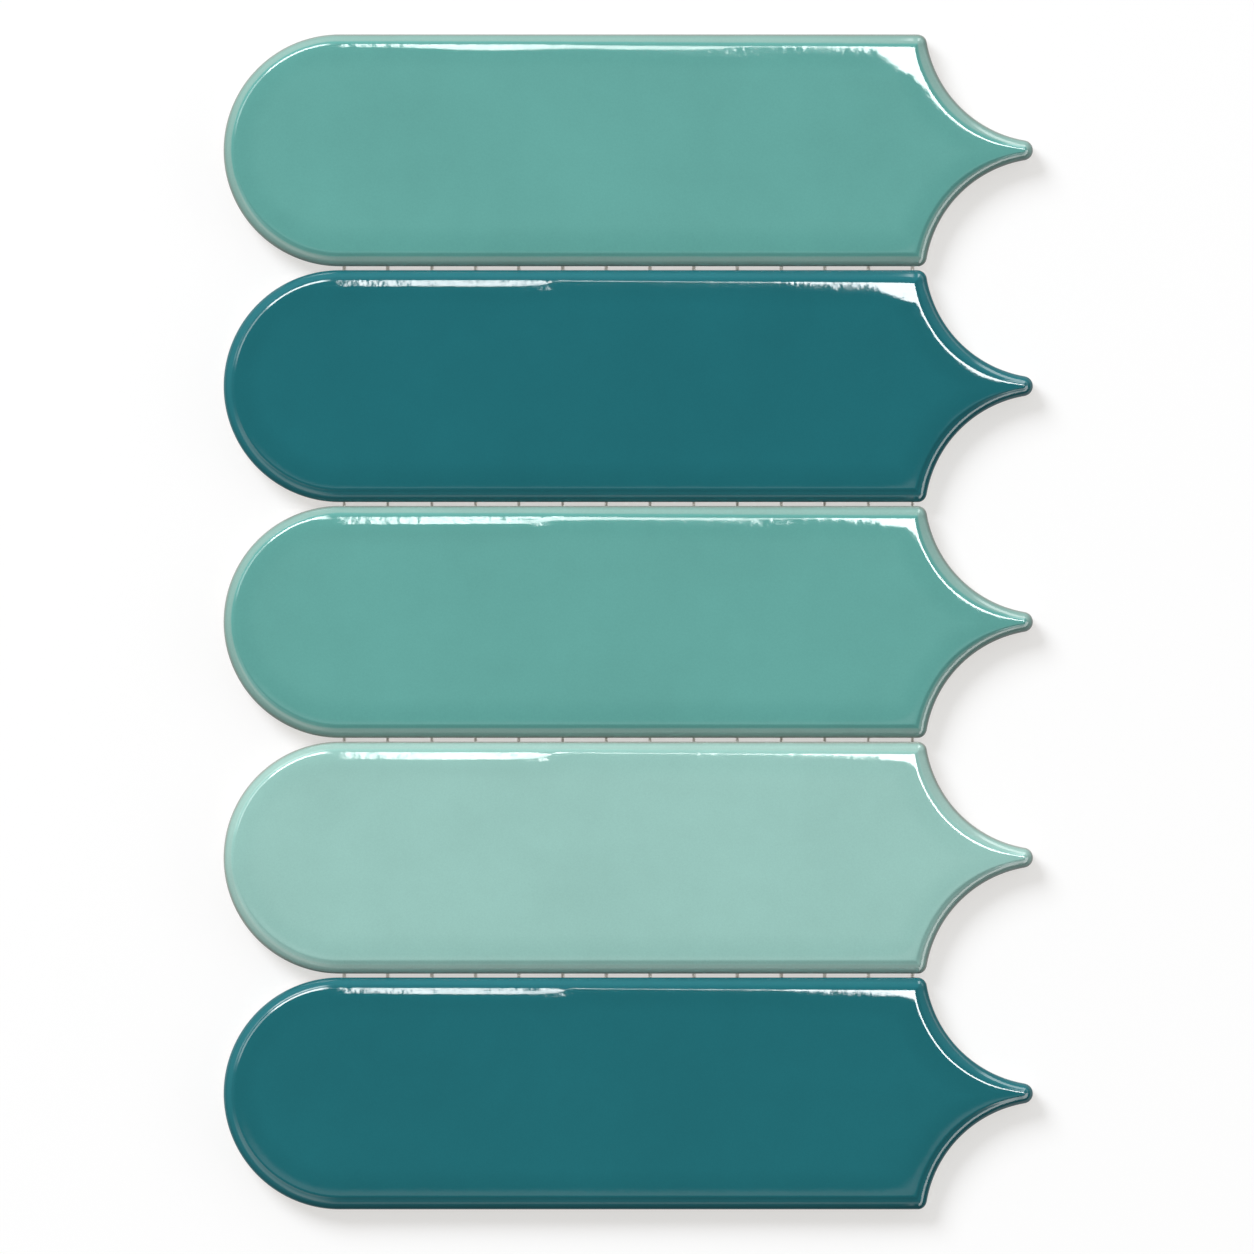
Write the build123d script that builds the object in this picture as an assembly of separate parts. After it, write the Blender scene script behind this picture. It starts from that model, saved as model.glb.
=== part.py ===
from build123d import *

import math
import os

# Feather mosaic sheet: one column of five glazed feather tiles on an open mesh backing.
# It lies face up. X runs along the tiles towards their tips, Y runs up the column, and
# the origin is the centre of the sheet's back. All sizes are in millimetres.

# The sheet
TILE_COUNT = 5
JOINT_WIDTH = 0.9

# One tile, seen from its glazed face: a body with a half-round end, then a pointed tip past its shoulders
TILE_WIDTH = 53.0
SHOULDER_LENGTH = 160.5
TIP_REACH = 24.5
TIP_RADIUS = 2.3
CORNER_RADIUS = 1.6

# One tile, through its thickness
TILE_THICKNESS = 6.5
CUSHION_RADIUS = 2.2
CUSHION_BANDS = 4

# Keying grooves pressed into the back of each tile
GROOVE_COUNT = 5
GROOVE_WIDTH = 4.0
RIB_WIDTH = 4.5
GROOVE_DEPTH = 0.6
GROOVE_END_MARGIN = 4.0

# Open mesh glued across the backs
MESH_THICKNESS = 0.4
MESH_OPENING_WIDTH = 9.0
STRAND_WIDTH = 1.0
MESH_EDGE_MARGIN = 8.0

TILE_LENGTH = SHOULDER_LENGTH + TIP_REACH
TILE_PITCH = TILE_WIDTH + JOINT_WIDTH
SHEET_HEIGHT = TILE_PITCH * (TILE_COUNT - 1) + TILE_WIDTH
HALF_LENGTH = TILE_LENGTH / 2
HALF_WIDTH = TILE_WIDTH / 2
SHOULDER_X = SHOULDER_LENGTH - HALF_LENGTH
ROUND_END_X = HALF_WIDTH - HALF_LENGTH
TIP_CENTRE_X = HALF_LENGTH - TIP_RADIUS
GROOVE_PITCH = GROOVE_WIDTH + RIB_WIDTH
MESH_PITCH = MESH_OPENING_WIDTH + STRAND_WIDTH

# A notch takes the round end of a tile of the next sheet, with one joint round it
NOTCH_RADIUS = HALF_WIDTH + JOINT_WIDTH


def mirrored(point):
    """The same point on the other side of the tile's long axis."""
    return point[0], -point[1]


def notch_centre():
    """Centre of the upper concave curve: it starts at the shoulder and runs into the tip's round end."""
    reach = NOTCH_RADIUS + TIP_RADIUS
    across_x = TIP_CENTRE_X - SHOULDER_X
    across_y = -HALF_WIDTH
    across = math.hypot(across_x, across_y)
    along = (NOTCH_RADIUS**2 - reach**2 + across**2) / (2 * across)
    aside = math.sqrt(NOTCH_RADIUS**2 - along**2)
    return (
        SHOULDER_X + (along * across_x - aside * across_y) / across,
        HALF_WIDTH + (along * across_y + aside * across_x) / across,
    )


def feather_outline():
    """The tile's face with sharp shoulders: half-round end, straight sides, two concave curves, round tip."""
    centre_x, centre_y = notch_centre()
    shoulder = (SHOULDER_X, HALF_WIDTH)
    share = TIP_RADIUS / (NOTCH_RADIUS + TIP_RADIUS)
    neck = (TIP_CENTRE_X + share * (centre_x - TIP_CENTRE_X), share * centre_y)
    start = math.atan2(shoulder[1] - centre_y, shoulder[0] - centre_x) % math.tau
    end = math.atan2(neck[1] - centre_y, neck[0] - centre_x) % math.tau
    middle = (start + end) / 2
    hollow = (
        centre_x + NOTCH_RADIUS * math.cos(middle),
        centre_y + NOTCH_RADIUS * math.sin(middle),
    )
    side_start = (ROUND_END_X, HALF_WIDTH)
    with BuildLine() as outline:
        Line(mirrored(side_start), mirrored(shoulder))
        ThreePointArc(mirrored(shoulder), mirrored(hollow), mirrored(neck))
        ThreePointArc(mirrored(neck), (HALF_LENGTH, 0), neck)
        ThreePointArc(neck, hollow, shoulder)
        Line(shoulder, side_start)
        ThreePointArc(side_start, (-HALF_LENGTH, 0), mirrored(side_start))
    return make_face(outline.line)


def with_rounded_shoulders(outline):
    """The same outline with its two sharp shoulders rounded."""
    shoulders = [
        vertex
        for vertex in outline.vertices()
        if abs(vertex.X - SHOULDER_X) < CORNER_RADIUS / 2
    ]
    return fillet(shoulders, CORNER_RADIUS)


def cushioned_block(outline):
    """The tile's thickness: a straight wall, then tapered bands that follow a quarter circle up to the face."""
    wall_height = TILE_THICKNESS - CUSHION_RADIUS
    block = extrude(outline, wall_height)
    top = Pos(0, 0, wall_height) * outline
    for band in range(CUSHION_BANDS):
        low = math.pi / 2 * band / CUSHION_BANDS
        high = math.pi / 2 * (band + 1) / CUSHION_BANDS
        rise = CUSHION_RADIUS * (math.sin(high) - math.sin(low))
        inset = CUSHION_RADIUS * (math.cos(low) - math.cos(high))
        layer = extrude(top, rise, taper=math.degrees(math.atan2(inset, rise)))
        block = block + layer
        top = layer.faces().sort_by(Axis.Z)[-1]
    return block


def keying_grooves():
    """Shallow straight grooves along the straight part of the back, one row of them across the width."""
    centre_x = (ROUND_END_X + SHOULDER_X) / 2
    length = SHOULDER_X - ROUND_END_X - 2 * GROOVE_END_MARGIN
    with BuildSketch() as rows:
        with Locations((centre_x, 0)):
            with GridLocations(0, GROOVE_PITCH, 1, GROOVE_COUNT):
                Rectangle(length, GROOVE_WIDTH)
    return extrude(rows.sketch, GROOVE_DEPTH)


def feather_tile():
    """One pressed tile with its back at Z = 0: cushioned face edge, rounded shoulders and grooved back."""
    outline = feather_outline()
    upright = extrude(with_rounded_shoulders(outline), TILE_THICKNESS)
    return (cushioned_block(outline) & upright) - keying_grooves()


def tile_row(number):
    """Height of a tile's long axis up the column. Tile 1 is at the top."""
    return TILE_PITCH * ((TILE_COUNT - 1) / 2 - (number - 1))


def mesh_backing():
    """The flat open mesh: one sheet with its square openings cut between the strands."""
    openings_across = int((-2 * ROUND_END_X - STRAND_WIDTH) / MESH_PITCH)
    openings_up = int(
        (SHEET_HEIGHT - 2 * MESH_EDGE_MARGIN - STRAND_WIDTH) / MESH_PITCH
    )
    with BuildSketch() as grid:
        Rectangle(
            MESH_PITCH * openings_across + STRAND_WIDTH,
            MESH_PITCH * openings_up + STRAND_WIDTH,
        )
        with GridLocations(MESH_PITCH, MESH_PITCH, openings_across, openings_up):
            Rectangle(MESH_OPENING_WIDTH, MESH_OPENING_WIDTH, mode=Mode.SUBTRACT)
    return extrude(grid.sketch, MESH_THICKNESS)


def main():
    os.makedirs("parts", exist_ok=True)
    export_step(mesh_backing(), "parts/mesh_backing.step")
    tile = feather_tile()
    for number in range(1, TILE_COUNT + 1):
        placed = Pos(0, tile_row(number), MESH_THICKNESS) * tile
        export_step(placed, f"parts/feather_tile_{number}.step")


main()
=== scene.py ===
import math
import random

import bmesh
import bpy
import numpy as np
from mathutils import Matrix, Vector, noise
from mathutils.geometry import delaunay_2d_cdt


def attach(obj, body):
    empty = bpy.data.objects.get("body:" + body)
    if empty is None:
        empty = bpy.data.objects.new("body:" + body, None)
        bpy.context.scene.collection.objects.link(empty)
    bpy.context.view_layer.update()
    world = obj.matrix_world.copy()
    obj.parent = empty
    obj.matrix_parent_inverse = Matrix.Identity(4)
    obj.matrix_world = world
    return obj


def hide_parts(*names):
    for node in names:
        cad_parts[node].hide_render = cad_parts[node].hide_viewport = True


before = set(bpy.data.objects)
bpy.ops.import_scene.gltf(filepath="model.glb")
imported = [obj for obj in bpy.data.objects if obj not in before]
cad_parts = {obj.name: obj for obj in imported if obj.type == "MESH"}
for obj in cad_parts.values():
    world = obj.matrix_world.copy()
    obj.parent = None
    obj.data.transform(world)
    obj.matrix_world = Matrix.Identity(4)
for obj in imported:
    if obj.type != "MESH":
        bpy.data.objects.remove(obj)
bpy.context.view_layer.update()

# A mesh-backed sheet of five glazed feather tiles, face up. The tile shapes are worked out in
# millimetres in each tile's own frame, with X along the tile towards its tip and Z up from its
# back. Each mesh is made in metres, in its place on the sheet.
MM = 0.001

# The sheet, its tiles and their mesh backing, with the values of the solids
TILE_COUNT = 5
JOINT_WIDTH = 0.9
TILE_WIDTH = 53.0
SHOULDER_LENGTH = 160.5
TIP_REACH = 24.5
TIP_RADIUS = 2.3
CORNER_RADIUS = 1.6
TILE_THICKNESS = 6.5
MESH_THICKNESS = 0.4
GROOVE_COUNT = 5
GROOVE_WIDTH = 4.0
RIB_WIDTH = 4.5
GROOVE_DEPTH = 0.6
GROOVE_END_MARGIN = 4.0
STRAND_WIDTH = 1.0
MESH_PITCH = 10.0
MESH_HALF_LENGTH = 65.5
MESH_HALF_HEIGHT = 125.5

TILE_PITCH = TILE_WIDTH + JOINT_WIDTH
GROOVE_PITCH = GROOVE_WIDTH + RIB_WIDTH
HALF_LENGTH = (SHOULDER_LENGTH + TIP_REACH) / 2
HALF_WIDTH = TILE_WIDTH / 2
SHOULDER_X = SHOULDER_LENGTH - HALF_LENGTH
ROUND_END_X = HALF_WIDTH - HALF_LENGTH
TIP_CENTRE_X = HALF_LENGTH - TIP_RADIUS
NOTCH_RADIUS = HALF_WIDTH + JOINT_WIDTH

# Section through the glazed edge: slope in degrees at each depth in from the outline. A round
# shoulder ends in a small step at a crease, and inside the crease the face falls away gently.
SHOULDER_SLOPE = (
    (0.0, 84.0), (0.05, 66.0), (0.12, 56.0), (0.25, 50.0), (0.45, 46.0), (0.7, 42.0),
    (1.0, 36.5), (1.3, 31.0), (1.52, 28.0), (1.7, 28.0), (1.84, 30.5), (1.95, 29.0),
    (2.05, 23.0), (2.2, 9.0), (2.34, 0.0),
)
FACE_SLOPE = (
    (0.0, 0.0), (2.05, 0.0), (2.2, 8.5), (2.34, 11.6), (2.7, 9.8), (3.2, 7.2), (3.8, 5.0),
    (4.6, 3.3), (6.0, 1.8), (8.0, 0.8), (10.5, 0.25), (12.0, 0.0),
)
# Depths of the rings of the dressed surface, close together where the section bends
RING_STEPS = (
    0.0, 0.03, 0.08, 0.15, 0.25, 0.38, 0.55, 0.75, 0.97, 1.2, 1.4, 1.55, 1.7, 1.8, 1.9, 1.98,
    2.06, 2.13, 2.2, 2.28, 2.36, 2.5, 2.72, 3.0, 3.3, 3.65, 4.05, 4.5, 5.1, 5.8, 6.7, 7.8, 9.1,
    10.5, 12.0,
)

# How wide the shoulder is round the tile, as a share of the section above. The bearing of the
# round end runs from 0 at the upper side through 90 at its far left to 180 at the lower side, and
# that of a concave curve from 0 at its shoulder to 90 at the tip. A straight side goes by X.
END_SPREAD = ((0, 1.03), (12, 1.04), (60, 1.07), (90, 1.12), (125, 1.3), (150, 1.4), (180, 1.4))
UPPER_NOTCH_SPREAD = (
    (8, 1.34), (20, 1.5), (42, 1.5), (55, 1.33), (65, 1.18), (75, 0.97), (82, 0.9),
)
LOWER_NOTCH_SPREAD = ((8, 1.25), (45, 1.2), (60, 1.08), (72, 0.95), (82, 0.9))
UPPER_SIDE_SPREAD = ((-66, 1.03), (-25, 1.05), (60, 1.36))
LOWER_SIDE_SPREAD = ((-66, 1.4), (60, 1.4))


def along_table(table, value):
    """A value read off a table of pairs."""
    return float(np.interp(value, [k[0] for k in table], [k[1] for k in table]))


def smooth(low, high, value):
    """Eased step from 0 at low to 1 at high."""
    share = min(1.0, max(0.0, (value - low) / (high - low)))
    return share * share * (3 - 2 * share)


def notch_centre():
    """Centre of the upper concave curve, which starts at the shoulder and runs into the tip."""
    reach = NOTCH_RADIUS + TIP_RADIUS
    across_x = TIP_CENTRE_X - SHOULDER_X
    across_y = -HALF_WIDTH
    across = math.hypot(across_x, across_y)
    along = (NOTCH_RADIUS**2 - reach**2 + across**2) / (2 * across)
    aside = math.sqrt(NOTCH_RADIUS**2 - along**2)
    return (
        SHOULDER_X + (along * across_x - aside * across_y) / across,
        HALF_WIDTH + (along * across_y + aside * across_x) / across,
    )


NOTCH_X, NOTCH_Y = notch_centre()
NECK_ANGLE = math.atan2(NOTCH_Y, NOTCH_X - TIP_CENTRE_X)
LAST_RING = RING_STEPS[-1]

# The points of an outline: those of the side lie closer together on its last stretch before the
# shoulder, and those of the concave curve near the shoulder
DENSE_STRETCH = 14
END_ANGLES = tuple(np.linspace(0, math.pi / 2, 57)[:-1])
SIDE_XS = tuple(np.linspace(ROUND_END_X, SHOULDER_X - DENSE_STRETCH, 74)[:-1])
SIDE_XS += tuple(np.linspace(SHOULDER_X - DENSE_STRETCH, SHOULDER_X, 28)[:-1])
SHOULDER_TURNS = 9
NOTCH_TURNS = 61
NOTCH_CROWDING = 1.15
TIP_TURNS = 11

# The stretching of the section fades out from this depth to the last ring
FADE_START = 3.0
# At the shoulder the concave curve's share is read at this bearing
NOTCH_START = 12


def spread_of(table, bearing, depth):
    """Share by which the section is stretched at a bearing, or at an X on a side, and a depth."""
    share = along_table(table, bearing)
    return share + (1 - share) * smooth(FADE_START, LAST_RING, depth)


def mitre_point(depth, side_spread, notch_table):
    """Where the straight side and the concave curve, both moved in to one depth, meet."""
    y = HALF_WIDTH - depth * spread_of(side_spread, SHOULDER_X, depth)
    radius = NOTCH_RADIUS + depth * spread_of(notch_table, NOTCH_START, depth)
    return NOTCH_X - math.sqrt(radius**2 - (y - NOTCH_Y) ** 2), y


def half_outline(depth, side_spread, notch_table, upper):
    """The outline of one half moved in to a depth, from the round end's far left to the tip."""
    points = []
    for angle in END_ANGLES:
        bearing = 90 - math.degrees(angle) if upper else 90 + math.degrees(angle)
        radius = HALF_WIDTH - depth * spread_of(END_SPREAD, bearing, depth)
        points.append((ROUND_END_X - radius * math.cos(angle), radius * math.sin(angle)))
    mitre_x, y = mitre_point(depth, side_spread, notch_table)
    corner = mitre_point(CORNER_RADIUS, side_spread, notch_table)
    turn_end = math.atan2(NOTCH_Y - corner[1], NOTCH_X - corner[0])
    for x in SIDE_XS:
        share = spread_of(side_spread, x, depth)
        limit = mitre_x if depth >= CORNER_RADIUS else corner[0]
        points.append((min(x, limit), HALF_WIDTH - depth * share if x < limit else y))
    if depth < CORNER_RADIUS:
        to_side = HALF_WIDTH - depth * along_table(side_spread, SHOULDER_X) - corner[1]
        to_notch = (CORNER_RADIUS - depth) * spread_of(notch_table, NOTCH_START, depth)
        for turn in np.linspace(0, 1, SHOULDER_TURNS)[:-1]:
            angle = math.pi / 2 + (turn_end - math.pi / 2) * turn
            radius = to_side + (to_notch - to_side) * smooth(0, 1, turn)
            points.append((
                corner[0] + radius * math.cos(angle), corner[1] + radius * math.sin(angle)
            ))
    else:
        points += [(mitre_x, y)] * (SHOULDER_TURNS - 1)
    return points + tip_points(depth, notch_table, turn_end, (mitre_x, y))


def tip_points(depth, notch_table, turn_end, mitre):
    """The concave curve and the tip moved in to a depth. They stay in one point once they meet."""
    raw = []
    for share in np.linspace(0, 1, NOTCH_TURNS + 1)[:-1]:
        angle = turn_end + (NECK_ANGLE - turn_end) * share**NOTCH_CROWDING
        radius = NOTCH_RADIUS + depth * spread_of(notch_table, math.degrees(angle), depth)
        raw.append((NOTCH_X - radius * math.cos(angle), NOTCH_Y - radius * math.sin(angle)))
    radius = TIP_RADIUS - depth * along_table(notch_table, 90)
    for angle in np.linspace(NECK_ANGLE, 0, TIP_TURNS):
        raw.append((TIP_CENTRE_X + radius * math.cos(angle), radius * math.sin(angle)))
    points = []
    meeting = None
    last = len(raw) - 1
    for i, (px, py) in enumerate(raw):
        if meeting is None and (py < 1e-6 or (radius <= 0 and i >= NOTCH_TURNS)):
            ax, ay = raw[i - 1]
            meeting = (ax + (px - ax) * ay / (ay - py), 0.0) if py < 0 else (px, 0.0)
        if meeting is not None:
            points.append(meeting)
        elif depth >= CORNER_RADIUS and py > mitre[1]:
            points.append(mitre)
        else:
            points.append((px, 0.0 if i == last else py))
    return points


def outline_at(depth):
    """The whole outline moved in to a depth, anticlockwise from its far left."""
    upper = half_outline(depth, UPPER_SIDE_SPREAD, UPPER_NOTCH_SPREAD, True)
    lower = half_outline(depth, LOWER_SIDE_SPREAD, LOWER_NOTCH_SPREAD, False)
    lower = [(x, -y) for x, y in lower]
    return lower[:-1] + upper[::-1][:-1]


def side_depths(x, y):
    """Depths of a point from the straight side, the concave curve and the round end."""
    from_notch = math.hypot(x - NOTCH_X, abs(y) - NOTCH_Y) - NOTCH_RADIUS
    return HALF_WIDTH - abs(y), from_notch, HALF_WIDTH - math.hypot(min(0, x - ROUND_END_X), y)


def inside(x, y, margin=0.0):
    """Whether a point lies in the outline short of the tip's end, deeper than the margin."""
    return x <= TIP_CENTRE_X and min(side_depths(x, y)) > margin


def inside_outline(x, y):
    """Whether a point lies in the outline, tip included."""
    at_tip = x > TIP_CENTRE_X and math.hypot(x - TIP_CENTRE_X, y) < TIP_RADIUS
    return at_tip or inside(x, y)


# ---------------------------------------------------------------- heights of the glaze

SLOPE_SAMPLES = 4800


def slope_table(knots):
    """Depths, and the drop gathered from each of them in to the end of the slopes."""
    depths = np.linspace(knots[0][0], knots[-1][0], SLOPE_SAMPLES)
    angles = np.interp(depths, [k[0] for k in knots], [k[1] for k in knots])
    fall = np.tan(np.radians(angles))
    pieces = (fall[1:] + fall[:-1]) / 2 * np.diff(depths)
    drop = np.concatenate((np.cumsum(pieces[::-1])[::-1], [0.0]))
    return depths, drop


SHOULDER_DEPTHS, SHOULDER_DROPS = slope_table(SHOULDER_SLOPE)
FACE_DEPTHS, FACE_DROPS = slope_table(FACE_SLOPE)

# How steep the fall is, as a share of the section's: along every lower side, and round its curve.
# The concave curves act on the face from this far before the shoulder.
LOWER_FALL = 0.45
LOWER_NOTCH_FALL = ((8, 0.45), (90, 0.3))
NOTCH_STRETCH = 20

# Where the fall gets steeper or gentler along a side, the band just inside the crease keeps its
# height, and the difference is taken up further in
LEVEL_DEPTH = 3.0
LEVEL_DROP = float(np.interp(LEVEL_DEPTH, FACE_DEPTHS, FACE_DROPS))
# The whole face is sunk by this, so that no part of it comes out higher than the solids
GLAZE_ALLOWANCE = 0.06

# The waves of a fired face, and a much finer ripple
WAVE_HEIGHT = 0.02
RIPPLE_HEIGHT = 0.0016


def section_depth(distance, share):
    """The depth in the section of a point at this distance from one side's outline."""
    depth = distance / share
    for _ in range(3):
        depth = distance / (share + (1 - share) * smooth(FADE_START, LAST_RING, depth))
    return depth


def glaze_height(x, y, depth, fall, warp):
    """Height of the glaze: the shoulder, the gentle fall towards every side near, and the warp."""
    lowered = GLAZE_ALLOWANCE
    for place, (distance, share, steepness) in enumerate(fall(x, y)):
        near = max(0.0, section_depth(distance, share))
        lowered += steepness * float(np.interp(near, FACE_DEPTHS, FACE_DROPS))
        if place == 0:
            lowered -= (steepness - LOWER_FALL) * LEVEL_DROP * (1 - smooth(4.0, 9.0, near))
    outer = float(np.interp(depth, SHOULDER_DEPTHS, SHOULDER_DROPS))
    return TILE_THICKNESS - outer - lowered + warp(x, y, depth)


def tile_fall(along_side, round_notch):
    """For a point of the face: distance, spread and steepness of the fall for each side near."""
    def fall(x, y):
        side, _, end = side_depths(x, y)
        sides = []
        if x < ROUND_END_X:
            bearing = math.degrees(math.atan2(ROUND_END_X - x, y))
            start = along_table(along_side, ROUND_END_X)
            round_end = ((0, start), (25, 0.55), (150, 0.45), (180, LOWER_FALL))
            spread = along_table(END_SPREAD, bearing)
            sides.append((end, spread, along_table(round_end, bearing)))
        else:
            spread = along_table(UPPER_SIDE_SPREAD if y > 0 else LOWER_SIDE_SPREAD, x)
            sides.append((side, spread, along_table(along_side, x) if y > 0 else LOWER_FALL))
        if x > SHOULDER_X - NOTCH_STRETCH:
            for table, spreads, sign in (
                (round_notch, UPPER_NOTCH_SPREAD, 1), (LOWER_NOTCH_FALL, LOWER_NOTCH_SPREAD, -1)
            ):
                distance = math.hypot(x - NOTCH_X, sign * y - NOTCH_Y) - NOTCH_RADIUS
                bearing = math.degrees(math.atan2(NOTCH_Y - sign * y, NOTCH_X - x))
                spread = along_table(spreads, bearing)
                sides.append((distance, spread, along_table(table, bearing)))
        return sides
    return fall


def tile_warp(number):
    """How a fired tile departs from flat: its face waves a little, always downwards."""
    def warp(x, y, depth):
        wave = noise.noise(Vector((x / 21, y / 15, number * 7.3))) - 1
        ripple = noise.noise(Vector((x / 7, y / 6, number * 3.1 + 40))) - 1
        waved = smooth(3.0, 12.0, depth) * WAVE_HEIGHT * wave
        return waved + smooth(1.0, 4.0, depth) * RIPPLE_HEIGHT * ripple
    return warp


# ---------------------------------------------------------------- tiles

GLAZE, BODY = 0, 1

# The field inside the last ring has points on a square grid, up to this close to the ring
FIELD_HALF_LENGTH = 90
FIELD_HALF_WIDTH = 24.8
FIELD_STEP = 3.1
FIELD_MARGIN = 1.6

# The wall from the top down. The glaze ends in a roll at an uneven line, this high on average and
# wandering slowly and quickly round the tile. Each row of the lower two tables is one ring: how far
# in it lies, and its height above the line or, for the clay, above the back.
GLAZE_LINE = 1.55
SLOW_WANDER = 0.55
FAST_WANDER = 0.16
ROLL_HEIGHT = 0.12
WALL_SHARES = (0.35, 0.7, 1.0)
GLAZE_ROLL = ((0.03, 0.05), (0.12, 0.0))
CLAY_WALL = ((0.12, 0.75), (0.14, 0.42), (0.24, 0.16), (0.5, 0.0))

# A keying groove from its mouth to its floor: how much each loop is drawn in, and its height. The
# ends of a groove turn in small arcs, and its long sides have a point every few millimetres.
GROOVE_MIDDLE = (ROUND_END_X + SHOULDER_X) / 2
GROOVE_REACH = (SHOULDER_X - ROUND_END_X) / 2 - GROOVE_END_MARGIN
GROOVE_LEVELS = ((0.0, 0.0), (0.12, 0.1), (0.3, 0.42), (0.55, GROOVE_DEPTH))
GROOVE_BEND = 1.1
GROOVE_BEND_STEPS = 6
GROOVE_SIDE_STEP = 6

# Edges that bend by less than this, in degrees, are shaded smooth
SMOOTH_GLAZE = 38
SMOOTH_CLAY = 25


def linked(name, data):
    """A new object of the scene that holds this data."""
    made = bpy.data.objects.new(name, data)
    bpy.context.scene.collection.objects.link(made)
    return made


def without_repeats(ring):
    """A closed loop of points with each run of one repeated point cut to a single one."""
    loop = []
    for index in ring:
        if not loop or loop[-1] != index:
            loop.append(index)
    if loop[0] == loop[-1]:
        loop.pop()
    return loop


def triangle_centre(points, face):
    return sum(points[i][0] for i in face) / 3, sum(points[i][1] for i in face) / 3


class Welded:
    """Collects faces by position, so points in one place become one vertex."""

    def __init__(self):
        self.index = {}
        self.points = []
        self.depth = []
        self.faces = []
        self.kinds = []

    def point(self, x, y, z, depth=0.0):
        key = (round(x, 4), round(y, 4), round(z, 4))
        if key not in self.index:
            self.index[key] = len(self.points)
            self.points.append((x, y, z))
            self.depth.append(depth)
        return self.index[key]

    def ring(self, depth, heights):
        """Points round the outline moved in to a depth, each with its own height."""
        return [self.point(x, y, z, depth) for (x, y), z in zip(outline_at(depth), heights)]

    def flat(self, loop):
        """The points of a loop as seen from above."""
        return [Vector(self.points[i][:2]) for i in loop]

    def face(self, corners, kind):
        ring = []
        for corner in corners:
            if corner not in ring:
                ring.append(corner)
        if len(ring) > 2:
            self.faces.append(ring)
            self.kinds.append(kind)

    def bridge(self, outer, inner, kind):
        """Faces between two rings with as many points."""
        for i in range(len(outer)):
            j = (i + 1) % len(outer)
            self.face((outer[i], outer[j], inner[j], inner[i]), kind)

    def mesh(self, name, lift_y, lift_z):
        """The mesh in metres, moved to its place on the sheet."""
        mesh = bpy.data.meshes.new(name)
        points = [(x * MM, (y + lift_y) * MM, (z + lift_z) * MM) for x, y, z in self.points]
        mesh.from_pydata(points, [], self.faces)
        mesh.polygons.foreach_set("material_index", self.kinds)
        layer = mesh.attributes.new("edge_depth", "FLOAT", "POINT")
        layer.data.foreach_set("value", self.depth)
        return mesh


def glazed_face(weld, fall, warp):
    """The rings of the shoulder and crease, then the field inside them. Returns the first ring."""
    rings = []
    for depth in RING_STEPS:
        loop = outline_at(depth)
        rings.append(weld.ring(depth, [glaze_height(x, y, depth, fall, warp) for x, y in loop]))
    for outer, inner in zip(rings, rings[1:]):
        weld.bridge(outer, inner, GLAZE)

    loop = without_repeats(rings[-1])
    rim = weld.flat(loop)
    grid = []
    for x in np.arange(-FIELD_HALF_LENGTH, FIELD_HALF_LENGTH, FIELD_STEP):
        for y in np.arange(-FIELD_HALF_WIDTH, FIELD_HALF_WIDTH + 0.1, FIELD_STEP):
            if inside(x, y, LAST_RING + FIELD_MARGIN):
                grid.append(Vector((x, y)))
    edges = [(i, (i + 1) % len(rim)) for i in range(len(rim))]
    points, _, faces, originals, _, _ = delaunay_2d_cdt(rim + grid, edges, [], 1, 1e-6, True)
    ids = []
    for point, source in zip(points, originals):
        if source and source[0] < len(rim):
            ids.append(loop[source[0]])
        else:
            x, y = point
            here = min(side_depths(x, y))
            ids.append(weld.point(x, y, glaze_height(x, y, here, fall, warp), here))
    for face in faces:
        if inside(*triangle_centre(points, face), LAST_RING):
            weld.face([ids[i] for i in face], GLAZE)
    return rings[0]


def tile_wall(weld, number, top_ring):
    """The wall: glaze, the small roll that it ends in, then bare clay. Returns the back's ring."""
    top = [weld.points[i][2] for i in top_ring]
    line = []
    for x, y in outline_at(0.0):
        slow = noise.noise(Vector((x / 16, y / 16, number * 5.7 + 11)))
        fast = noise.noise(Vector((x / 3.5, y / 3.5, number * 2.9)))
        line.append(GLAZE_LINE + SLOW_WANDER * slow + FAST_WANDER * fast)

    levels = []
    for share in WALL_SHARES:
        heights = [t + (g + ROLL_HEIGHT - t) * share for t, g in zip(top, line)]
        levels.append((0.0, heights, GLAZE))
    for inset, rise in GLAZE_ROLL:
        levels.append((inset, [g + rise for g in line], GLAZE))
    for inset, height in CLAY_WALL:
        levels.append((inset, [height] * len(line), BODY))
    above = top_ring
    for inset, heights, kind in levels:
        below = weld.ring(inset, heights)
        weld.bridge(below, above, kind)
        above = below
    return above


def groove_loop(row_y, shrink):
    """A rounded rectangle round one groove, drawn in by the shrink."""
    half_x = GROOVE_REACH - shrink
    half_y = GROOVE_WIDTH / 2 - shrink
    ring = []
    for corner, (sx, sy) in enumerate(((1, 1), (-1, 1), (-1, -1), (1, -1))):
        for k in range(GROOVE_BEND_STEPS):
            turn = math.radians(90 * corner + 90 / (GROOVE_BEND_STEPS - 1) * k)
            ring.append((
                GROOVE_MIDDLE + sx * (half_x - GROOVE_BEND) + GROOVE_BEND * math.cos(turn),
                row_y + sy * (half_y - GROOVE_BEND) + GROOVE_BEND * math.sin(turn),
            ))
    divided = []
    for a, b in zip(ring, ring[1:] + ring[:1]):
        divided.append(a)
        pieces = max(1, int(abs(b[0] - a[0]) / GROOVE_SIDE_STEP))
        for k in range(1, pieces):
            divided.append((a[0] + (b[0] - a[0]) * k / pieces, a[1]))
    return divided


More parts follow.
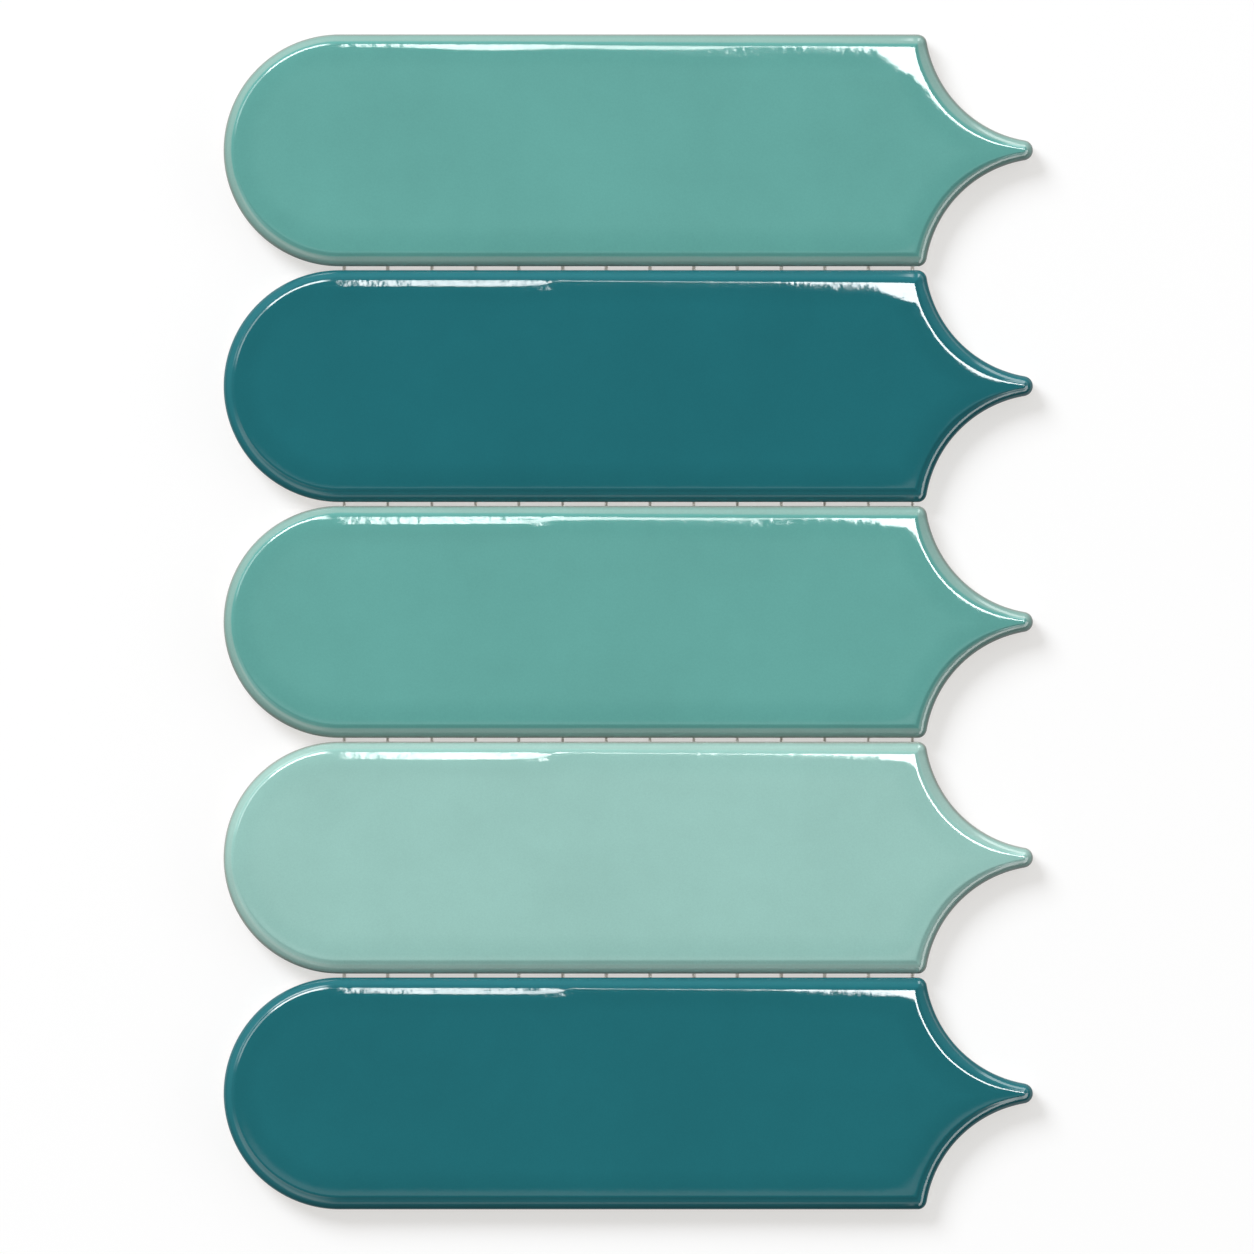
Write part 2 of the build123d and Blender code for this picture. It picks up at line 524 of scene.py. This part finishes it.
def over_groove(x, y):
    """Whether a point of the back lies over a keying groove."""
    row = round(y / GROOVE_PITCH)
    off_x = abs(x - GROOVE_MIDDLE)
    off_y = abs(y - row * GROOVE_PITCH)
    if abs(row) > (GROOVE_COUNT - 1) / 2 or off_x >= GROOVE_REACH or off_y >= GROOVE_WIDTH / 2:
        return False
    corner_x = off_x - (GROOVE_REACH - GROOVE_BEND)
    corner_y = off_y - (GROOVE_WIDTH / 2 - GROOVE_BEND)
    return corner_x < 0 or corner_y < 0 or math.hypot(corner_x, corner_y) < GROOVE_BEND


def tile_back(weld, last_ring):
    """The back of bare clay, with its keying grooves."""
    grooves = []
    for row in range(GROOVE_COUNT):
        row_y = (row - (GROOVE_COUNT - 1) / 2) * GROOVE_PITCH
        levels = []
        for shrink, z in GROOVE_LEVELS:
            levels.append([weld.point(x, y, z) for x, y in groove_loop(row_y, shrink)])
        grooves.append(levels)
    for levels in grooves:
        for low, high in zip(levels, levels[1:]):
            for i in range(len(low)):
                j = (i + 1) % len(low)
                weld.face((low[i], high[i], high[j], low[j]), BODY)
        weld.face(levels[-1][::-1], BODY)

    outlines, ids, edges = [], [], []
    for ring in [without_repeats(last_ring)] + [levels[0] for levels in grooves]:
        start = len(ids)
        edges += [(start + i, start + (i + 1) % len(ring)) for i in range(len(ring))]
        outlines += weld.flat(ring)
        ids += ring
    points, _, faces, originals, _, _ = delaunay_2d_cdt(outlines, edges, [], 1, 1e-6, True)
    for face in faces:
        centre = triangle_centre(points, face)
        if inside_outline(*centre) and not over_groove(*centre):
            weld.face([ids[originals[i][0]] for i in reversed(face)], BODY)


def shade_smooth(mesh):
    """Smooth shading, with sharp edges at steep bends and where the glaze meets the clay."""
    work = bmesh.new()
    work.from_mesh(mesh)
    bmesh.ops.recalc_face_normals(work, faces=work.faces)
    for edge in work.edges:
        if len(edge.link_faces) == 2:
            kinds = {f.material_index for f in edge.link_faces}
            limit = SMOOTH_GLAZE if kinds == {GLAZE} else SMOOTH_CLAY
            edge.smooth = edge.calc_face_angle(0) < math.radians(limit) and len(kinds) == 1
    for face in work.faces:
        face.smooth = True
    work.to_mesh(mesh)
    work.free()


def glazed_tile(number, fall, warp):
    """One tile: glazed face and upper wall, bare clay on the lower wall and the grooved back."""
    weld = Welded()
    top_ring = glazed_face(weld, fall, warp)
    tile_back(weld, tile_wall(weld, number, top_ring))
    name = f"glazed_tile_{number}"
    axis_y = TILE_PITCH * ((TILE_COUNT - 1) / 2 - (number - 1))
    mesh = weld.mesh(name, axis_y, MESH_THICKNESS)
    shade_smooth(mesh)
    return linked(name, mesh)


# ---------------------------------------------------------------- materials

class Graph:
    """Short calls for wiring shader nodes."""

    def __init__(self, tree):
        self.tree = tree
        tree.nodes.clear()

    def node(self, kind, **settings):
        made = self.tree.nodes.new(kind)
        for key, value in settings.items():
            setattr(made, key, value)
        return made

    def put(self, socket, value):
        if isinstance(value, bpy.types.NodeSocket):
            self.tree.links.new(value, socket)
        else:
            socket.default_value = value

    def math(self, operation, a, b=0.0, c=0.0):
        made = self.node("ShaderNodeMath", operation=operation)
        for socket, value in zip(made.inputs, (a, b, c)):
            self.put(socket, value)
        return made.outputs[0]

    def swing(self, value, amount):
        """A noise of about a half turned into one of about zero, scaled by the amount."""
        return self.math("MULTIPLY", self.math("SUBTRACT", value, 0.5), amount)

    def ramp(self, value, low, high, start=0.0, end=1.0, **settings):
        """From start to end while the value goes from low to high, and level outside."""
        made = self.node("ShaderNodeMapRange", **settings)
        for key, setting in (("Value", value), ("From Min", low), ("From Max", high),
                             ("To Min", start), ("To Max", end)):
            self.put(made.inputs[key], setting)
        return made.outputs["Result"]

    def step(self, value, low, high, start=0.0, end=1.0):
        """The same with eased ends."""
        return self.ramp(value, low, high, start, end, interpolation_type="SMOOTHSTEP")

    def mix(self, factor, a, b):
        made = self.node("ShaderNodeMix", data_type="RGBA")
        made.clamp_factor = True
        self.put(made.inputs[0], factor)
        self.put(made.inputs[6], a)
        self.put(made.inputs[7], b)
        return made.outputs[2]

    def noise(self, vector, scale, detail=2.0, roughness=0.5):
        made = self.node("ShaderNodeTexNoise")
        self.put(made.inputs["Vector"], vector)
        made.inputs["Scale"].default_value = scale
        made.inputs["Detail"].default_value = detail
        made.inputs["Roughness"].default_value = roughness
        return made.outputs["Fac"]

    def attribute(self, name):
        return self.node("ShaderNodeAttribute", attribute_name=name).outputs["Fac"]

    def place(self):
        return self.node("ShaderNodeTexCoord").outputs["Object"]

    def surface(self, base, rough, height, strength, distance):
        """The surface shader, with a colour, a roughness and a bump, wired to the output."""
        made = self.node("ShaderNodeBsdfPrincipled")
        self.put(made.inputs["Base Color"], base)
        self.put(made.inputs["Roughness"], rough)
        bump = self.node("ShaderNodeBump")
        bump.inputs["Strength"].default_value = strength
        bump.inputs["Distance"].default_value = distance
        self.put(bump.inputs["Height"], height)
        self.put(made.inputs["Normal"], bump.outputs[0])
        self.finish("ShaderNodeOutputMaterial", made.outputs[0])
        return made

    def choose(self, factor, a, b):
        """One shader or the other, or a mix of them."""
        made = self.node("ShaderNodeMixShader")
        for socket, value in zip(made.inputs, (factor, a, b)):
            self.put(socket, value)
        return made.outputs[0]

    def finish(self, kind, shader):
        self.put(self.node(kind).inputs["Surface"], shader)


def new_material(name):
    material = bpy.data.materials.new(name)
    material.use_nodes = True
    return material, Graph(material.node_tree)


def colour(rgb):
    return (*rgb, 1.0)


def scaled(rgb, factors):
    return tuple(min(1.0, c * f) for c, f in zip(rgb, factors))


CLAY_DARK = (0.60, 0.49, 0.42)
CLAY_PALE = (0.70, 0.60, 0.53)
CLAY_SPECK = (0.46, 0.35, 0.29)
CLAY_AT_ARRIS = (0.38, 0.30, 0.26)
YARN_DARK = (0.74, 0.73, 0.68)
YARN_PALE = (0.84, 0.83, 0.79)
YARN_BETWEEN = (0.60, 0.58, 0.53)
# Factors for the face colour in the band of painted shade along the crease
CREASE_PAINTED_SHADE = (0.9, 0.92, 0.92)


def glaze_material(name, face, rim, pool, arris_share, seed):
    """Glossy glaze: thin and light on the round shoulder, with painted shade along the crease, and
    deeper where it pools inside the crease.
    """
    material, graph = new_material(name)
    shift = graph.node("ShaderNodeVectorMath", operation="ADD")
    graph.put(shift.inputs[0], graph.place())
    shift.inputs[1].default_value = (seed * 1.7, seed * 0.9, seed * 0.4)
    place = shift.outputs[0]
    depth = graph.attribute("edge_depth")

    # the tone varies from place to place, and painted shade makes it darker at the arris and down
    # the wall
    cloud = graph.noise(place, 34.0, 3.0, 0.55)
    patch = graph.noise(place, 150.0, 4.0, 0.6)
    grain = graph.noise(place, 2600.0, 2.0, 0.7)
    tone = graph.math("MULTIPLY_ADD", graph.math("SUBTRACT", cloud, 0.5), 0.16, 1.0)
    tone = graph.math("ADD", tone, graph.swing(patch, 0.07))
    tone = graph.math("ADD", tone, graph.swing(grain, 0.16))
    # painted shade at the arris and on the wall
    tone = graph.math("MULTIPLY", tone, graph.step(depth, 0.15, 0.95, 0.78, 1.0))

    # the colour goes by the depth in from the outline, along slightly wandering borders
    worn = graph.math("ADD", depth, graph.swing(patch, 0.3))
    pooled = graph.math(
        "MULTIPLY", graph.step(worn, 2.2, 2.5), graph.step(worn, 3.2, 8.5, 1.0, 0.0)
    )
    shade = graph.mix(pooled, colour(face), colour(pool))
    shade = graph.mix(graph.step(worn, 1.3, 1.85, 1.0, 0.0), shade, colour(rim))
    # painted shade: the face colour is darkened in a band along the crease
    crease = graph.math(
        "MULTIPLY", graph.step(depth, 1.5, 1.8), graph.step(depth, 2.1, 2.6, 1.0, 0.0)
    )
    shade = graph.mix(crease, shade, colour(scaled(face, CREASE_PAINTED_SHADE)))
    shade = graph.mix(graph.step(worn, 0.1, 0.5, arris_share, 0.0), shade, colour(CLAY_AT_ARRIS))
    toned = graph.node("ShaderNodeVectorMath", operation="SCALE")
    graph.put(toned.inputs[0], shade)
    graph.put(toned.inputs[3], tone)

    rough = graph.math("MULTIPLY_ADD", cloud, 0.02, 0.03)
    skin = graph.noise(place, 420.0, 3.0, 0.5)
    surface = graph.surface(toned.outputs[0], rough, skin, 0.012, 0.001)
    surface.inputs["IOR"].default_value = 1.5
    return material


def clay_material():
    """Bare fired clay: warm off-white, matte and finely pitted, with a little dust."""
    material, graph = new_material("bare_clay")
    place = graph.place()
    cloud = graph.noise(place, 60.0, 4.0, 0.6)
    speck = graph.noise(place, 1500.0, 3.0, 0.6)
    shade = graph.mix(graph.step(cloud, 0.35, 0.65), colour(CLAY_DARK), colour(CLAY_PALE))
    shade = graph.mix(graph.step(speck, 0.62, 0.74), shade, colour(CLAY_SPECK))
    graph.surface(shade, graph.math("MULTIPLY_ADD", speck, 0.2, 0.72), speck, 0.5, 0.0002)
    return material


def yarn_material():
    """Coated glass yarn: pale, slightly shiny, with fine filaments along it."""
    material, graph = new_material("glass_yarn")
    place = graph.place()
    cloud = graph.noise(place, 90.0, 3.0, 0.6)
    filament = graph.noise(place, 3200.0, 2.0, 0.6)
    stripes = graph.math("SINE", graph.math("MULTIPLY", graph.attribute("across"), 40.0))
    shade = graph.mix(graph.step(cloud, 0.3, 0.7), colour(YARN_DARK), colour(YARN_PALE))
    between = graph.math("MULTIPLY_ADD", stripes, 0.10, 0.10)
    shade = graph.mix(between, shade, colour(YARN_BETWEEN))
    rough = graph.math("MULTIPLY_ADD", filament, 0.25, 0.35)
    height = graph.math("ADD", stripes, filament)
    surface = graph.surface(shade, rough, height, 0.35, 0.0001)
    surface.inputs["Transmission Weight"].default_value = 0.8
    surface.inputs["IOR"].default_value = 1.25
    return material


# ---------------------------------------------------------------- mesh backing

YARN_THICKNESS = 0.14
YARN_SIDES = 8
YARN_SEED = 12

# Yarns across: one to a row, with a slight drift and a sway of its own
CROSS_WIDTH = 0.84
CROSS_STEPS = 52
CROSS_SWAY = 0.08
CROSS_DRIFT = 0.05

# Yarns up the sheet: two to a column. They change sides between the rows and hold each row's yarn
# between them, above and below the middle of the mesh's thickness. Away from a row they lie close
# together, at a small share of that height.
PAIR_WIDTH = 0.44
PAIR_STEPS = 201
PAIR_SWAY = 0.06
PAIR_OFFSET = 0.2
PAIR_RISE = 0.125
PAIR_CLOSED = 0.2
PAIR_OPENING = 0.6


def ribbon(points, faces, across, path, width):
    """A flat oval yarn swept along a path of points (x, y, z, dx, dy)."""
    first = len(points)
    for x, y, z, dx, dy in path:
        for k in range(YARN_SIDES):
            turn = math.tau * (k + 0.5) / YARN_SIDES
            side = math.cos(turn) * width / 2
            lift = math.sin(turn) * YARN_THICKNESS / 2
            points.append(((x - dy * side) * MM, (y + dx * side) * MM, (z + lift) * MM))
            across.append(turn)
    for row in range(len(path) - 1):
        for k in range(YARN_SIDES):
            a = first + row * YARN_SIDES + k
            b = first + row * YARN_SIDES + (k + 1) % YARN_SIDES
            faces.append((a, b, b + YARN_SIDES, a + YARN_SIDES))
    last = first + (len(path) - 1) * YARN_SIDES
    faces.append([first + k for k in reversed(range(YARN_SIDES))])
    faces.append([last + k for k in range(YARN_SIDES)])


def mesh_yarns():
    """The glass mesh: flat yarns across, and pairs of yarns up the sheet that hold them."""
    draw = random.Random(YARN_SEED)
    points, faces, across = [], [], []
    middle = MESH_THICKNESS / 2
    edge = STRAND_WIDTH / 2
    rows = int(round(2 * (MESH_HALF_HEIGHT - edge) / MESH_PITCH)) + 1
    columns = int(round(2 * (MESH_HALF_LENGTH - edge) / MESH_PITCH)) + 1
    for row in range(rows):
        y = -MESH_HALF_HEIGHT + edge + row * MESH_PITCH
        sway = draw.uniform(-CROSS_SWAY, CROSS_SWAY)
        path = []
        for k in range(CROSS_STEPS + 1):
            x = -MESH_HALF_LENGTH + 2 * MESH_HALF_LENGTH * k / CROSS_STEPS
            drift = CROSS_DRIFT * math.sin(x / 9 + row) + sway
            path.append((x, y + drift, middle, 1.0, 0.0))
        ribbon(points, faces, across, path, CROSS_WIDTH)
    for column in range(columns):
        x = -MESH_HALF_LENGTH + edge + column * MESH_PITCH
        sway = draw.uniform(-PAIR_SWAY, PAIR_SWAY)
        for sign in (1, -1):
            path = []
            for k in range(PAIR_STEPS + 1):
                y = -MESH_HALF_HEIGHT + 2 * MESH_HALF_HEIGHT * k / PAIR_STEPS
                phase = math.pi * (y + MESH_HALF_HEIGHT - edge) / MESH_PITCH
                offset = PAIR_OFFSET * sign * math.sin(phase)
                opened = 1 if abs(math.cos(phase)) > PAIR_OPENING else PAIR_CLOSED
                rise = PAIR_RISE * sign * opened * math.cos(phase)
                path.append((x + offset + sway, y, middle + rise, 0.0, 1.0))
            ribbon(points, faces, across, path, PAIR_WIDTH)
    mesh = bpy.data.meshes.new("mesh_yarns")
    mesh.from_pydata(points, [], faces)
    layer = mesh.attributes.new("across", "FLOAT", "POINT")
    layer.data.foreach_set("value", across)
    for polygon in mesh.polygons:
        polygon.use_smooth = True
    return linked("mesh_yarns", mesh)


# ---------------------------------------------------------------- build

SEA_GREEN = (0.133, 0.395, 0.356)
DEEP_TEAL = (0.0145, 0.149, 0.174)
PALE_AQUA = (0.325, 0.577, 0.522)
FINISHES = {
    # face colour, factors for its thin shoulder and its pools, and how much clay shows at the arris
    "glaze_sea_green": (SEA_GREEN, (1.9, 1.1, 1.1), (0.9, 0.94, 0.94), 0.4),
    "glaze_deep_teal": (DEEP_TEAL, (1.25, 1.06, 1.06), (0.9, 0.93, 0.93), 0.0),
    "glaze_pale_aqua": (PALE_AQUA, (1.03, 0.92, 0.92), (0.94, 0.96, 0.96), 0.5),
}
# How steep the fall is along the top side of each tile, by X, and round its upper concave curve, by
# bearing, as a share of the section's
TILES = {
    1: (
        "glaze_sea_green",
        (
            (-66, 0.5), (-52, 0.52), (-42, 0.65), (-34, 0.74), (-25, 0.73), (-18, 0.62),
            (-10, 0.56), (-3, 0.63), (15, 0.63), (22, 0.53), (30, 0.4), (38, 0.34), (46, 0.34),
            (54, 0.38), (58, 0.41), (61, 0.46),
        ),
        ((8, 0.8), (14, 0.75), (20, 0.38), (30, 0.26), (40, 0.22), (50, 0.18), (90, 0.2)),
    ),
    2: (
        "glaze_deep_teal",
        (
            (-66, 0.84), (-26, 0.83), (-20, 0.74), (-16, 0.35), (37, 0.33), (42, 0.4),
            (46, 0.47), (53, 0.47), (58, 0.53), (61, 0.66),
        ),
        (
            (8, 0.85), (13, 0.6), (18, 0.28), (25, 0.2), (45, 0.22), (60, 0.3), (75, 0.3),
            (90, 0.25),
        ),
    ),
    3: (
        "glaze_sea_green",
        (
            (-66, 1.25), (-50, 1.25), (-38, 1.17), (-23, 1.12), (-17, 0.7), (-8, 0.63),
            (28, 0.62), (35, 0.55), (40, 0.37), (48, 0.38), (54, 0.46), (58, 0.5), (61, 0.44),
        ),
        ((8, 0.36), (14, 0.26), (25, 0.16), (38, 0.13), (50, 0.27), (75, 0.32), (90, 0.25)),
    ),
    4: (
        "glaze_pale_aqua",
        (
            (-66, 1.08), (-58, 1.12), (-50, 1.19), (-26, 1.16), (-21, 1.0), (-16, 0.45),
            (38, 0.43), (50, 0.46), (56, 0.5), (61, 0.45),
        ),
        ((8, 0.3), (16, 0.18), (25, 0.16), (45, 0.24), (70, 0.3), (90, 0.25)),
    ),
    5: (
        "glaze_deep_teal",
        (
            (-66, 0.95), (-58, 1.0), (-50, 1.06), (-21, 1.05), (-17, 0.95), (-12, 0.42),
            (37, 0.4), (44, 0.52), (54, 0.57), (58, 0.58), (61, 0.5),
        ),
        ((8, 0.26), (16, 0.14), (35, 0.1), (50, 0.14), (60, 0.26), (75, 0.26), (90, 0.22)),
    ),
}
clay = clay_material()
for number, (slot, along_side, round_notch) in TILES.items():
    face, thin, pooled, arris = FINISHES[slot]
    piece = glazed_tile(number, tile_fall(along_side, round_notch), tile_warp(number))
    rim, pool = scaled(face, thin), scaled(face, pooled)
    piece.data.materials.append(
        glaze_material(f"glaze_{number}", face, rim, pool, arris, number)
    )
    piece.data.materials.append(clay)
    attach(piece, "root")
    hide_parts(f"feather_tile_{number}")

yarns = mesh_yarns()
yarns.data.materials.append(yarn_material())
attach(yarns, "root")
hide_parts("mesh_backing")


# ---------------------------------------------------------------- floor

# In metres. The floor lies just under the sheet, and can't be seen from below. A share of its white
# is its own, for the rays that see it, and the rest takes light and shadow.
FLOOR_REACH = 30.0
FLOOR_Z = -0.00005
FLOOR_OWN = (0.61, 0.595, 0.575)
FLOOR_LIT = (0.385, 0.40, 0.42)


def floor_piece():
    """The pale floor under the sheet."""
    mesh = bpy.data.meshes.new("floor")
    corners = [(-1, -1), (1, -1), (1, 1), (-1, 1)]
    mesh.from_pydata(
        [(sx * FLOOR_REACH, sy * FLOOR_REACH, FLOOR_Z) for sx, sy in corners],
        [], [(0, 1, 2, 3)],
    )
    material, graph = new_material("pale_floor")
    rays = graph.node("ShaderNodeLightPath")
    seen = graph.math("MAXIMUM", rays.outputs["Is Camera Ray"], rays.outputs["Is Glossy Ray"])
    seen = graph.math("MAXIMUM", seen, rays.outputs["Is Transmission Ray"])
    lit = graph.node("ShaderNodeBsdfDiffuse")
    graph.put(lit.inputs["Color"], colour(FLOOR_LIT))
    own = graph.node("ShaderNodeEmission")
    graph.put(own.inputs["Color"], colour(FLOOR_OWN))
    graph.put(own.inputs["Strength"], seen)
    both = graph.node("ShaderNodeAddShader")
    graph.put(both.inputs[0], lit.outputs[0])
    graph.put(both.inputs[1], own.outputs[0])
    clear = graph.node("ShaderNodeBsdfTransparent")
    below = graph.node("ShaderNodeNewGeometry").outputs["Backfacing"]
    graph.finish(
        "ShaderNodeOutputMaterial", graph.choose(below, both.outputs[0], clear.outputs[0])
    )
    mesh.materials.append(material)
    return linked("floor", mesh)


floor_piece()


# ---------------------------------------------------------------- light

# What the glaze reflects of the studio round the sheet. Bearings are in degrees clockwise from +Y,
# seen from above, and heights are in degrees down from straight overhead.
WHITE = (1.0, 1.0, 1.0)
STUDIO = (
    # bearing, half spread, edge, nearest overhead, furthest, edge, strength, colour
    (-25.0, 17.0, 3.0, 20.0, 54.0, 2.0, 22.0, WHITE),
    (-58.0, 18.0, 6.0, 20.0, 54.0, 2.0, 5.0, WHITE),
    (20.0, 12.0, 5.0, 57.0, 72.0, 2.0, 6.0, WHITE),
    (55.0, 20.0, 6.0, 64.0, 72.0, 2.0, 1.4, WHITE),
    (-140.0, 32.0, 10.0, 44.0, 55.0, 3.0, 1.6, (1.0, 0.93, 0.88)),
    (128.0, 42.0, 8.0, 59.0, 71.0, 1.5, 5.5, (1.0, 0.99, 0.98)),
    (180.0, 30.0, 10.0, 52.0, 60.0, 3.0, 0.9, (1.0, 0.95, 0.9)),
    (180.0, 55.0, 15.0, 7.0, 13.0, 1.5, 0.8, (1.0, 0.97, 0.94)),
    (0.0, 80.0, 30.0, 50.0, 89.0, 8.0, 0.2, WHITE),
)

# Three more panels, two of them with leaning ends or sides. Their places are in degrees from
# straight overhead, to the right (towards +X) and up (towards +Y). A row of three numbers is a
# window: low, high and edge.
# The long one, seen in the top sides: where it starts and ends to the right, at heights up
LONG_START = ((10.5, -0.835), (13.0, -0.87), (20.0, -0.93))
LONG_END = ((10.5, -0.38), (14.0, -0.33), (20.0, -0.28))
LONG_UP = (10.5, 27.0, 0.6)
# The thin one, which goes on to its right
THIN_RIGHT = (-0.3, 0.5, 0.04)
THIN_UP = (10.5, 16.5, 0.6)
# The one to the upper right, which starts as a point and opens out: how far down from overhead its
# near and far sides lie, at places to the right
CORNER_NEAR = ((0.58, 13.0), (0.65, 10.6), (0.75, 8.9), (0.9, 7.4), (1.2, 5.5))
CORNER_FAR = ((0.58, 13.0), (0.67, 16.0), (0.76, 17.0), (0.81, 18.5), (0.9, 28.0))
CORNER_BEARING = (0.0, 86.0, 1.0)
CORNER_EDGE = 0.5
PANEL_EDGE = 0.04
PANEL_STRENGTH = 24.0
THIN_PANEL_STRENGTH = 14.0

# The even light of the reflected studio, overhead and low down
SKY_OVERHEAD = 0.06
SKY_LOW = 0.12

# The soft light that falls on everything: a sky that is brighter towards +Y, and a fill low on the
# right
SOFT_SKY = 0.36
SKY_LEAN = 0.85
SOFT_FILL = 1.2
FILL_BEARING = 80.0
FILL_DOWN = (64.0, 84.0, 3.0)

# The lamp: degrees clockwise from +Y and down from overhead, then metres and watts
KEY_BEARING = -40.0
KEY_HEIGHT = 53.0
KEY_DISTANCE = 8.0
KEY_SIZE = 4.1
KEY_POWER = 670.0


def studio_world():
    """The studio's panels for glossy rays, soft light for the others, and white for the camera."""
    world = bpy.data.worlds.new("studio")
    bpy.context.scene.world = world
    world.use_nodes = True
    graph = Graph(world.node_tree)
    parts = graph.node("ShaderNodeSeparateXYZ")
    graph.put(parts.inputs[0], graph.node("ShaderNodeTexCoord").outputs["Generated"])
    x, y, z = parts.outputs
    level = graph.math("ADD", graph.math("MULTIPLY", x, x), graph.math("MULTIPLY", y, y))
    level = graph.math("MAXIMUM", graph.math("SQRT", level), 1e-6)
    down = graph.math("DEGREES", graph.math("ARCCOSINE", z))
    right = graph.math("DEGREES", graph.math("ARCTAN2", x, z))
    up = graph.math("DEGREES", graph.math("ARCTAN2", y, z))
    bearing_now = graph.math("DEGREES", graph.math("ARCTAN2", x, y))

    def facing(bearing):
        """How far this direction goes towards a bearing."""
        turn = math.radians(bearing)
        across = graph.math("MULTIPLY", x, math.sin(turn))
        return graph.math("ADD", across, graph.math("MULTIPLY", y, math.cos(turn)))

    def window(value, low, high, edge):
        """1 where the value lies between low and high, with soft edges."""
        rise = graph.math("DIVIDE", graph.math("SUBTRACT", value, low), edge)
        drop = graph.math("DIVIDE", graph.math("SUBTRACT", high, value), edge)
        return graph.step(graph.math("MINIMUM", rise, drop), -1.0, 1.0)

    def curve(value, knots):
        """A curve through pairs, as a chain of ramps."""
        height = knots[0][1]
        for (low, start), (high, end) in zip(knots, knots[1:]):
            height = graph.math("ADD", height, graph.ramp(value, low, high, 0.0, end - start))
        return height

    def gathered(entries):
        """The lights added up, each a part, a strength and a colour."""
        total = graph.node("ShaderNodeCombineXYZ").outputs[0]
        for part, strength, tint in entries:
            shone = graph.node("ShaderNodeVectorMath", operation="SCALE")
            shone.inputs[0].default_value = tint
            graph.put(shone.inputs[3], graph.math("MULTIPLY", part, strength))
            add = graph.node("ShaderNodeVectorMath", operation="ADD")
            graph.put(add.inputs[0], total)
            graph.put(add.inputs[1], shone.outputs[0])
            total = add.outputs[0]
        return total

    lights = []
    for bearing, spread, soft, near, far, blur, strength, tint in STUDIO:
        share = graph.math("MINIMUM", graph.math("DIVIDE", facing(bearing), level), 1.0)
        off = graph.math("DEGREES", graph.math("ARCCOSINE", share))
        beside, height = window(off, -360.0, spread, soft), window(down, near, far, blur)
        lights.append((graph.math("MULTIPLY", beside, height), strength, tint))

    between = window(right, curve(up, LONG_START), curve(up, LONG_END), PANEL_EDGE)
    part = graph.math("MULTIPLY", between, window(up, *LONG_UP))
    lights.append((part, PANEL_STRENGTH, WHITE))
    part = graph.math("MULTIPLY", window(right, *THIN_RIGHT), window(up, *THIN_UP))
    lights.append((part, THIN_PANEL_STRENGTH, WHITE))
    between = window(down, curve(right, CORNER_NEAR), curve(right, CORNER_FAR), CORNER_EDGE)
    part = graph.math("MULTIPLY", window(bearing_now, *CORNER_BEARING), between)
    part = graph.math("MULTIPLY", part, graph.step(right, 0.6, 0.68))
    lights.append((part, PANEL_STRENGTH, WHITE))
    lights.append((graph.step(down, 8.0, 40.0, SKY_OVERHEAD, SKY_LOW), 1.0, WHITE))

    fill = graph.step(facing(FILL_BEARING), 0.55, 0.9)
    fill = graph.math("MULTIPLY", fill, window(down, *FILL_DOWN))
    lean = graph.math("MULTIPLY_ADD", y, SKY_LEAN, 1.0)
    soft = gathered([(lean, SOFT_SKY, WHITE), (fill, SOFT_FILL, WHITE)])
    rays = graph.node("ShaderNodeLightPath")
    light = graph.node("ShaderNodeBackground")
    graph.put(
        light.inputs["Color"], graph.mix(rays.outputs["Is Glossy Ray"], soft, gathered(lights))
    )
    white = graph.node("ShaderNodeBackground")
    white.inputs["Color"].default_value = colour(WHITE)
    graph.finish(
        "ShaderNodeOutputWorld",
        graph.choose(rays.outputs["Is Camera Ray"], light.outputs[0], white.outputs[0]),
    )


def key_lamp():
    """The soft lamp to the upper left that gives the sheet its shadow."""
    data = bpy.data.lights.new("key_lamp", "AREA")
    data.shape = "DISK"
    data.size = KEY_SIZE
    data.energy = KEY_POWER
    lamp = linked("key_lamp", data)
    bearing, height = math.radians(KEY_BEARING), math.radians(KEY_HEIGHT)
    place = Vector((
        math.sin(bearing) * math.sin(height), math.cos(bearing) * math.sin(height), math.cos(height)
    )) * KEY_DISTANCE
    lamp.location = place
    lamp.rotation_euler = place.to_track_quat("Z", "Y").to_euler()
    lamp.visible_camera = False
    lamp.visible_glossy = False


studio_world()
key_lamp()


# ---------------------------------------------------------------- camera

# Straight above the sheet, with a long lens. The photo's frame is this wide at the tiles' faces,
# and its middle lies at this X and Y.
VIEW_WIDTH = 286.5
VIEW_X = -0.29
VIEW_Y = -1.17
SENSOR = 36.0
LENS = 500.0
camera_data = bpy.data.cameras.new("camera")
camera_data.lens = LENS
camera_data.sensor_width = SENSOR
camera_data.clip_end = 100.0
camera = linked("camera", camera_data)
camera_height = VIEW_WIDTH * LENS / SENSOR + MESH_THICKNESS + TILE_THICKNESS
camera.location = (VIEW_X * MM, VIEW_Y * MM, camera_height * MM)
bpy.context.scene.camera = camera
bpy.context.scene.view_settings.view_transform = "Standard"
